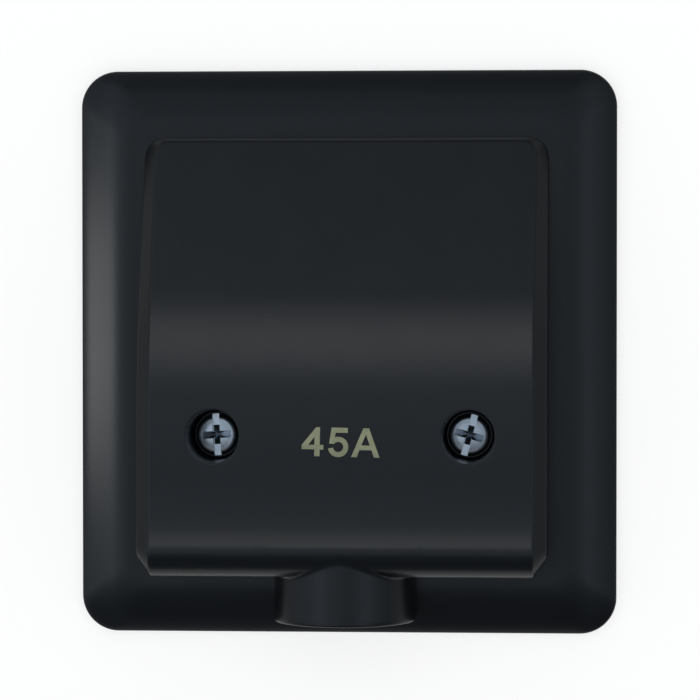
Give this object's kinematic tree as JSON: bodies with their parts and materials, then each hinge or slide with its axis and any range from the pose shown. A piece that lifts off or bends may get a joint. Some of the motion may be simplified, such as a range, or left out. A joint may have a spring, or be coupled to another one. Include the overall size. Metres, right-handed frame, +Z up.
{
  "type": "flex outlet plate",
  "caption": "Square wall outlet plate with a domed rim, a sloping hood over its terminals and an arched spout below for a cooker's flexible cord.",
  "frame": {"origin": "on the wall plane, midway between the two box screws", "axes": "+X to the right and +Z up as seen from the room, +Y into the wall; the front faces -Y"},
  "size_m": [0.091, 0.0358, 0.0954],
  "materials": {
    "black_gloss": "semi-gloss moulded black",
    "black_matt": "matt moulded",
    "white_thermoset": "dull thermoset moulding",
    "brass": "as turned",
    "plated_steel": "bright zinc plate"
  },
  "bodies": {
    "root": {"base_moulding": "black_matt", "front_plate": "black_gloss", "hood": "black_gloss", "terminal_block": "white_thermoset", "live_terminal": "brass", "earth_terminal": "brass", "neutral_terminal": "brass", "block_screw_left": "plated_steel", "block_screw_right": "plated_steel", "hood_screw_left": "plated_steel", "hood_screw_right": "plated_steel", "hood_insert_left": "brass", "hood_insert_right": "brass", "cord_clamp_insert_left": "brass", "cord_clamp_insert_right": "brass"},
    "cord_clamp": {"cord_clamp_bar": "black_matt", "cord_clamp_screw_left": "plated_steel", "cord_clamp_screw_right": "plated_steel"},
    "live_flex_screw": {"live_flex_screw": "plated_steel"},
    "live_feed_screw": {"live_feed_screw": "plated_steel"},
    "earth_flex_screw": {"earth_flex_screw": "plated_steel"},
    "earth_feed_screw": {"earth_feed_screw": "plated_steel"},
    "neutral_flex_screw": {"neutral_flex_screw": "plated_steel"},
    "neutral_feed_screw": {"neutral_feed_screw": "plated_steel"}
  },
  "joints": [
    {"name": "cord_clamp_travel", "type": "slide", "parent": "root", "child": "cord_clamp", "axis": [0, 1, 0], "range_m": [0, 0.0042]},
    {"name": "live_flex_screw_travel", "type": "slide", "parent": "root", "child": "live_flex_screw", "axis": [0, 1, 0], "range_m": [0, 0.0044]},
    {"name": "live_feed_screw_travel", "type": "slide", "parent": "root", "child": "live_feed_screw", "axis": [0, 1, 0], "range_m": [0, 0.0044]},
    {"name": "earth_flex_screw_travel", "type": "slide", "parent": "root", "child": "earth_flex_screw", "axis": [0, 1, 0], "range_m": [0, 0.0044]},
    {"name": "earth_feed_screw_travel", "type": "slide", "parent": "root", "child": "earth_feed_screw", "axis": [0, 1, 0], "range_m": [0, 0.0044]},
    {"name": "neutral_flex_screw_travel", "type": "slide", "parent": "root", "child": "neutral_flex_screw", "axis": [0, 1, 0], "range_m": [0, 0.0044]},
    {"name": "neutral_feed_screw_travel", "type": "slide", "parent": "root", "child": "neutral_feed_screw", "axis": [0, 1, 0], "range_m": [0, 0.0044]}
  ]
}
